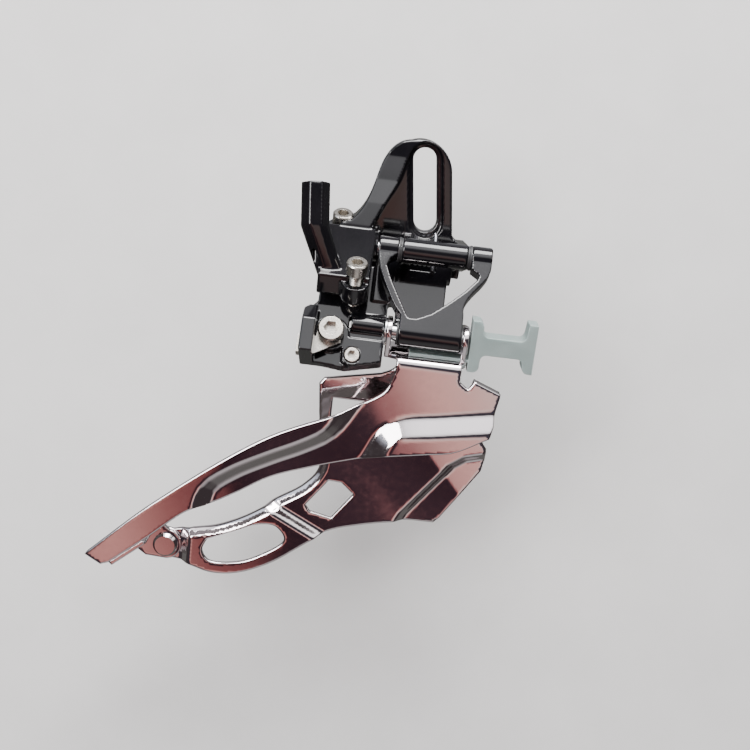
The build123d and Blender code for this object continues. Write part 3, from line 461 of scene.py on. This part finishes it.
# ---------------------------------------------------------------- outer cage plate
PLATE_THICK = 1.2
OUTER_FACE = -36.5                  # Y of the main outboard face
STEP = 2.5                          # the tail and the pad stand this much prouder
TAIL_BAND = 3.4                     # widths of the sloped bands between the levels
PAD_BAND = 4.4
BRIDGE_TOP = -34.4                  # Z of the bridge's top face
BRIDGE_BACK = -20.6                 # Y of the bridge's inboard end
BEND_R = 1.9                        # outside radius of the bends
TAIL_STEP = [(-43.6, -80.0), (-41.7, -70.6), (-36.6, -66.0), (-28.2, -61.2), (-21.0, -57.5),
             (-15.3, -53.6), (-10.8, -46.0)]
PAD_STEP = [(-7.0, -63.0), (-4.7, -57.6), (-2.4, -52.7), (0.4, -50.7), (9.4, -48.9), (24.0, -46.2)]
TAIL_RIVET = (-52.8, -91.5)
RIVET_HOLE_R = 1.52
EYELET_R = 3.9
EYELET_FACE = -23.3
OUTER_LOWER = (-32.3008, -29.6433)  # (Y, Z) of the cage's two pins
INNER_LOWER = (-23.3008, -31.1433)
PIN_HOLE_R = 1.77
EAR_R = 3.2
REAR_EAR_X = -5.2
FRONT_EAR_X = 12.0
REAR_EAR_LENGTH = 11.8              # the bridge is wider beside the rear ear, over this length
MAIN_SWAY = 0.35                    # how far the main face dips inboard along its middle
SWAY_FROM = 4.0                     # the dip's start and length along the plate
SWAY_LENGTH = 42.0


def outer_sway(x, z):
    """The outer plate's faces are not quite flat: they dip a little inboard along their middle."""
    along = -0.86 * x - 0.51 * (z + 45.0)
    part_way = np.clip((along - SWAY_FROM) / SWAY_LENGTH, 0.0, 1.0)
    near_top = np.clip((z + 40.0) / 3.0, 0.0, 1.0)
    return MAIN_SWAY * np.sin(part_way * math.pi) ** 2 * (1.0 - near_top)


def outer_place(x, z, depth):
    """The outer plate in space: pressed face below the bend, then round the bend on to the bridge."""
    main_side = slope(side_of(x, z, smooth_run(TAIL_STEP, 2.0)), TAIL_BAND)
    pad_side = slope(side_of(x, z, smooth_run(PAD_STEP, 1.5)), PAD_BAND)
    face = OUTER_FACE - STEP + STEP * main_side - STEP * pad_side
    face = face + outer_sway(x, z)
    bend_z = BRIDGE_TOP - BEND_R
    middle_r = BEND_R - PLATE_THICK / 2
    run = np.maximum(z - bend_z, 0.0)
    turn = np.minimum(run / middle_r, math.pi / 2)
    past = np.maximum(run - middle_r * math.pi / 2, 0.0)
    radius = BEND_R - depth
    y_bent = OUTER_FACE + BEND_R - radius * np.cos(turn) + past
    z_bent = bend_z + radius * np.sin(turn)
    bent = z > bend_z
    y = np.where(bent, y_bent + (face - OUTER_FACE) * (1 - np.sin(turn)), face + depth)
    return np.stack([x, y, np.where(bent, z_bent, z)], axis=1)


def outer_outline():
    """The outer plate's flat outline, with the bridge rolled out above the bend."""
    bridge_end = BRIDGE_TOP - BEND_R + (BEND_R - PLATE_THICK / 2) * math.pi / 2 + (
        BRIDGE_BACK - OUTER_FACE - BEND_R)
    ear_from = bridge_end - REAR_EAR_LENGTH
    run = [(-5.2, bridge_end), (-5.2, ear_from), (-2.2, ear_from - 1.6), (-2.2, -37.6)]
    run += smooth_run([(-2.2, -37.6), (-4.1, -42.6), (-11.1, -47.2), (-30.0, -56.6), (-53.7, -75.0),
                       (-68.3, -89.0)])
    run += [(-68.9, -89.9), (-65.1, -92.0), (-63.2, -91.3)]
    run += smooth_run([(-63.2, -91.3), (-55.0, -84.3), (-45.2, -75.8), (-41.6, -74.8), (-35.2, -71.1),
                       (-27.9, -66.4), (-18.7, -62.8), (-7.2, -59.0), (-2.3, -57.3)])
    run += smooth_run([(-2.3, -57.3), (7.0, -55.6), (13.0, -54.4), (20.6, -50.1)])
    run += [(21.3, -47.3), (21.2, -45.1), (21.9, -40.9), (21.9, -40.1), (15.7, -37.8), (14.5, -39.8),
            (12.5, -38.4), (12.5, -35.2), (13.2, -34.2), (13.2, bridge_end)]
    return run


def ear(x_from):
    """An ear that stands up from the bridge, with the two pin holes."""
    outline = arc_run(OUTER_LOWER, EAR_R, 190, 80) + arc_run(INNER_LOWER, EAR_R, 82, -10)
    outline += [(-20.7, BRIDGE_TOP - 0.9), (-33.6, BRIDGE_TOP - 0.9)]
    holes = [round_hole(OUTER_LOWER, PIN_HOLE_R), round_hole(INNER_LOWER, PIN_HOLE_R)]

    def place(y, z, depth):
        return np.stack([x_from + depth, y, z], axis=1)

    return sheet(outline, holes, PLATE_THICK, place, edge=0.25, spacing=0.7)


def facing_out(y_face):
    """Places a flat sheet square to the Y axis."""
    def place(x, z, depth):
        return np.stack([x, np.full(len(x), y_face) + depth, z], axis=1)
    return place


def outer_cage_plate():
    """The outer plate with its bridge, ears, lip and the tail's flange and tab."""
    shells = [sheet(outer_outline(), [], PLATE_THICK, outer_place, edge=0.4, spacing=0.5)]
    shells += [ear(REAR_EAR_X), ear(FRONT_EAR_X)]
    lip = [(15.7, -37.9), (21.8, -40.2), (21.6, -41.3), (15.4, -39.0)]
    shells.append(sheet(lip, [], 3.2, facing_out(OUTER_FACE + 0.2), edge=0.3, spacing=0.5))
    flange = [(-63.3, -91.3), (-55.6, -84.7), (-54.8, -85.5), (-62.5, -92.1)]
    flange_face = OUTER_FACE - STEP + 0.4
    reach = EYELET_FACE - flange_face
    shells.append(sheet(flange, [], reach, facing_out(flange_face), edge=0.3, spacing=0.5))
    tab = [(-63.3, -91.2), (-55.6, -84.7)] + arc_run(TAIL_RIVET, EYELET_R, 80, -85) + [(-57.6, -95.1)]
    hole = round_hole(TAIL_RIVET, RIVET_HOLE_R)
    tab_face = EYELET_FACE - PLATE_THICK
    shells.append(sheet(tab, [hole], PLATE_THICK, facing_out(tab_face), edge=0.3, spacing=0.7))
    return build("outer_plate_pressed", shells, "chrome_plate", "cage", "outer_cage_plate")


# ---------------------------------------------------------------- inner cage plate
INNER_FACE = -23.3                  # Y of the main outboard face
ARM_STEP = 2.0                      # the lower arm stands this far outboard of the front
POCKET = 1.8                        # depth of the front-lower pocket
SOFT = 0.4                          # rounding where a pressed slope starts and ends
ARM_AREA = [(-49.0, -80.0), (-34.0, -74.0), (-28.4, -77.2), (-15.4, -83.6), (-8.0, -86.5), (-8.0, -102.0),
            (-49.0, -102.0)]
POCKET_AREA = [(0.0, -84.0), (3.4, -76.4), (13.6, -62.4), (17.0, -59.9), (28.0, -56.8), (28.0, -84.0)]
ARM_TOP = [(-46.4, -86.5), (-41.0, -85.2), (-34.6, -82.2), (-27.0, -77.0), (-20.4, -72.2), (-17.4, -67.4),
           (-17.6, -62.0)]
ROLL_WIDTH = 2.0                    # the arm's top edge rolls inboard over this width
ROLL_DROP = 1.3
CREASE = [(-19.0, -60.0), (-13.5, -63.0), (-4.0, -70.5), (3.0, -78.5)]
CREASE_LEAN = -0.55                 # the front leans outboard by this much, 16 mm ahead of the crease
FLANGE_TOP = BRIDGE_TOP - PLATE_THICK - 0.04
FLANGE_REACH = 5.3


def inner_sway(x, z):
    """Small reliefs of the inner plate: the arm's rolled top edge and a soft crease behind the pocket."""
    roll = np.clip(1.0 - np.abs(side_of(x, z, smooth_run(ARM_TOP, 1.5))) / ROLL_WIDTH, 0.0, 1.0)
    fade = np.clip((-56.0 - z) / 6.0, 0.0, 1.0) * np.clip((x + 48.5) / 2.0, 0.0, 1.0)
    from_crease = -side_of(x, z, CREASE)
    ahead = np.clip(from_crease / 16.0, 0.0, 1.0)
    lean = CREASE_LEAN * ahead * ahead
    return ROLL_DROP * roll * fade + lean * np.clip((-44.0 - z) / 8.0, 0.0, 1.0)


def inner_place(x, z, depth):
    """The inner plate in space: an arm pressed outboard, a pocket pressed inboard and a flange on top."""
    arm = slope(depth_in(x, z, ARM_AREA) - ARM_STEP / 2, ARM_STEP, SOFT)
    pocket = slope(depth_in(x, z, POCKET_AREA) - POCKET / 2, POCKET, SOFT)
    face = INNER_FACE - ARM_STEP * arm + POCKET * pocket + inner_sway(x, z)
    bend_z = FLANGE_TOP - BEND_R
    middle_r = BEND_R - PLATE_THICK / 2
    run = np.maximum(z - bend_z, 0.0)
    turn = np.minimum(run / middle_r, math.pi / 2)
    past = np.maximum(run - middle_r * math.pi / 2, 0.0)
    radius = BEND_R - PLATE_THICK + depth
    y_bent = INNER_FACE + PLATE_THICK - BEND_R + radius * np.cos(turn) - past
    z_bent = bend_z + radius * np.sin(turn)
    bent = z > bend_z
    return np.stack([x, np.where(bent, y_bent, face + depth), np.where(bent, z_bent, z)], axis=1)


def inner_cage_plate():
    """The inner plate with its windows and the flange under the bridge."""
    flange_end = FLANGE_TOP - BEND_R + (BEND_R - PLATE_THICK / 2) * math.pi / 2 + FLANGE_REACH
    outline = [(-1.0, flange_end), (-1.0, -37.8)]
    outline += smooth_run([(-1.0, -37.8), (-2.4, -40.4), (-5.2, -41.9)])
    outline += [(-18.3, -44.6), (-19.5, -46.2)]
    outline += smooth_run([(-19.5, -46.2), (-18.8, -53.2), (-17.4, -67.4), (-20.4, -72.2), (-27.0, -77.0),
                           (-34.6, -82.2), (-41.0, -85.2), (-46.4, -86.5)])
    outline += arc_run(TAIL_RIVET, EYELET_R, 70, 270)
    outline += smooth_run([(-46.8, -96.0), (-41.0, -97.4), (-34.7, -96.7), (-26.8, -93.1), (-14.3, -83.9),
                           (-5.7, -80.9), (3.4, -79.0), (12.0, -78.6)])
    outline += [(13.3, -77.2), (21.7, -63.7), (22.2, -60.4), (22.0, -57.4)]
    outline += smooth_run([(22.0, -57.4), (17.0, -50.6), (12.4, -44.0), (11.6, -37.0)])
    outline += [(11.6, flange_end)]
    tail_window = smooth_run([(-42.6, -88.6), (-36.0, -85.6), (-30.5, -83.2), (-26.3, -83.2), (-23.9, -86.4),
                              (-29.7, -91.4), (-35.2, -93.8), (-41.9, -94.1), (-43.6, -91.6), (-42.6, -88.6)])
    front_window = [(-19.6, -77.3), (-14.6, -70.4), (-11.5, -70.6), (-8.4, -73.2), (-13.2, -79.9),
                    (-18.5, -78.8)]
    slot_window = [(-15.8, -49.4), (-8.0, -49.4), (-8.0, -55.0), (-15.8, -55.0)]
    hole = round_hole(TAIL_RIVET, RIVET_HOLE_R)
    openings = [tail_window, front_window, slot_window, hole]
    shells = [sheet(outline, openings, PLATE_THICK, inner_place, edge=0.45, spacing=0.5)]
    return build("inner_plate_pressed", shells, "chrome_plate", "cage", "inner_cage_plate")


# ---------------------------------------------------------------- stage
FLOOR_DEPTH = 30.0 * MM             # behind the origin, along the line of sight
FLOOR_HALF = 1500.0 * MM


def floor_material():
    """Matt pale surface, see-through from behind so that the back can be looked at."""
    material, nodes, links = new_material("floor")
    shader = nodes["Principled BSDF"]
    tint = spread(nodes, links, noise(nodes, links, 40.0), 0.3, 0.7, 0.0, 1.0)
    links.new(mix_color(nodes, links, tint, (0.60, 0.595, 0.59), (0.64, 0.635, 0.63)),
              shader.inputs["Base Color"])
    shader.inputs["Roughness"].default_value = 0.9
    clear = nodes.new("ShaderNodeBsdfTransparent")
    choose = nodes.new("ShaderNodeMixShader")
    side = nodes.new("ShaderNodeNewGeometry")
    links.new(side.outputs["Backfacing"], choose.inputs["Fac"])
    links.new(shader.outputs["BSDF"], choose.inputs[1])
    links.new(clear.outputs["BSDF"], choose.inputs[2])
    links.new(choose.outputs["Shader"], nodes["Material Output"].inputs["Surface"])
    return material


def add_floor(ahead):
    """The floor the object lies on, square to the camera's line of sight."""
    half = FLOOR_HALF
    mesh = bpy.data.meshes.new("floor")
    corners = [(-half, -half, 0), (half, -half, 0), (half, half, 0), (-half, half, 0)]
    mesh.from_pydata(corners, [], [(0, 1, 2, 3)])
    floor = bpy.data.objects.new("floor", mesh)
    bpy.context.collection.objects.link(floor)
    turn = (-ahead).to_track_quat("Z", "Y").to_matrix().to_4x4()
    floor.matrix_world = Matrix.Translation(ahead * FLOOR_DEPTH) @ turn
    mesh.materials.append(floor_material())
    floor.visible_glossy = False


def add_light(name, place, target, size, power, color):
    """A soft box that looks at target."""
    data = bpy.data.lights.new(name, "AREA")
    data.shape = "RECTANGLE"
    data.size, data.size_y = size
    data.energy = power
    data.color = color
    light = bpy.data.objects.new(name, data)
    bpy.context.collection.objects.link(light)
    toward = Vector(target) - Vector(place)
    turn = toward.to_track_quat("-Z", "Y").to_matrix().to_4x4()
    light.matrix_world = Matrix.Translation(place) @ turn


ROOM = (0.055, 0.045, 0.048)        # the room's own dim light
FLOOR_TONE = (0.15, 0.147, 0.14)    # what the polished faces see of the floor behind the object
BACKDROP = (0.60, 0.595, 0.59)      # what the camera sees past the floor
FRONT = (0.0, -0.966, -0.26)        # the camera's side, which the plates' outboard faces reflect
BEHIND = (0.0, 0.966, -0.26)
LINE_SWEEP = (-0.86, 0.0, -0.51)    # the plates' reflections sweep this way from front to tail
SWEEP_STOPS = (
    # place along the sweep, colour
    (-0.10, (0.06, 0.055, 0.075)),
    (0.02, (1.00, 0.74, 0.68)),
    (0.085, (0.95, 0.52, 0.46)),
    (0.135, (0.42, 0.17, 0.17)),
    (0.18, (0.055, 0.03, 0.04)),
    (0.26, (0.035, 0.018, 0.025)),
    (0.32, (0.28, 0.09, 0.09)),
    (0.40, (0.78, 0.36, 0.32)),
    (0.48, (0.12, 0.06, 0.07)),
    (0.60, (0.04, 0.035, 0.05)),
)
PATCHES = (
    # direction, half-angle where it is full, half-angle where it is gone (degrees), colour
    ((0.0, -0.45, 0.9), 22, 38, (2.4, 2.4, 2.45)),
    ((-0.75, -0.45, 0.48), 8, 28, (1.3, 1.45, 1.65)),
    ((0.62, -0.39, 0.68), 12, 26, (1.9, 1.9, 1.9)),
    ((0.1, -0.5, -0.87), 8, 28, (0.6, 0.58, 0.58)),
    ((0.0, 0.75, 0.66), 15, 45, (0.5, 0.5, 0.52)),
)


def facing(nodes, links, direction, direction_socket):
    """How far the looked-at direction leans towards the given one, as a dot product."""
    dot = nodes.new("ShaderNodeVectorMath")
    dot.operation = "DOT_PRODUCT"
    links.new(direction_socket, dot.inputs[0])
    dot.inputs[1].default_value = Vector(direction).normalized()
    return dot.outputs["Value"]


def add_world():
    """A dim room with soft panels: polished faces show a rosy sweep in front and white panels above."""
    world = bpy.data.worlds.new("world")
    bpy.context.scene.world = world
    world.use_nodes = True
    nodes, links = world.node_tree.nodes, world.node_tree.links
    look = nodes.new("ShaderNodeTexCoord").outputs["Generated"]
    low, high = SWEEP_STOPS[0][0], SWEEP_STOPS[-1][0]
    sweep = nodes.new("ShaderNodeValToRGB")
    sweep.color_ramp.interpolation = "EASE"
    while len(sweep.color_ramp.elements) < len(SWEEP_STOPS):
        sweep.color_ramp.elements.new(0.5)
    for element, (at, color) in zip(sweep.color_ramp.elements, SWEEP_STOPS):
        element.position = (at - low) / (high - low)
        element.color = (*color, 1.0)
    along = facing(nodes, links, LINE_SWEEP, look)
    links.new(spread(nodes, links, along, low, high, 0.0, 1.0), sweep.inputs["Fac"])
    front = spread(nodes, links, facing(nodes, links, FRONT, look), 0.72, 0.90, 0.0, 1.0)
    color = mix_color(nodes, links, front, ROOM, sweep.outputs["Color"])
    behind = spread(nodes, links, facing(nodes, links, BEHIND, look), 0.0, 0.15, 0.0, 1.0)
    color = mix_color(nodes, links, behind, color, FLOOR_TONE)
    for direction, full, gone, tone in PATCHES:
        near = spread(nodes, links, facing(nodes, links, direction, look),
                      math.cos(math.radians(gone)), math.cos(math.radians(full)), 0.0, 1.0)
        color = mix_color(nodes, links, near, color, tone)
    seen = nodes.new("ShaderNodeLightPath").outputs["Is Camera Ray"]
    links.new(mix_color(nodes, links, seen, color, BACKDROP), nodes["Background"].inputs["Color"])
    nodes["Background"].inputs["Strength"].default_value = 1.0


# ---------------------------------------------------------------- everything put together
paint_nodes()
outer_cage_plate()
inner_cage_plate()
soften("mount_body", 0.22 * MM, 9)
soften("outer_link", 0.2 * MM, 9)
soften("inner_link", 0.22 * MM, 7)
break_edges("setup_wedge", 0.35 * MM)
line_of_sight = add_camera()
add_floor(line_of_sight)
add_light("top_box", (0.05, -0.15, 0.55), (0, -0.02, -0.04), (0.5, 0.3), 9.0, (1.0, 0.99, 0.98))
add_light("front_box", (-0.35, -0.5, 0.15), (0, -0.02, -0.04), (0.25, 0.4), 4.0, (1.0, 0.98, 0.97))
add_world()
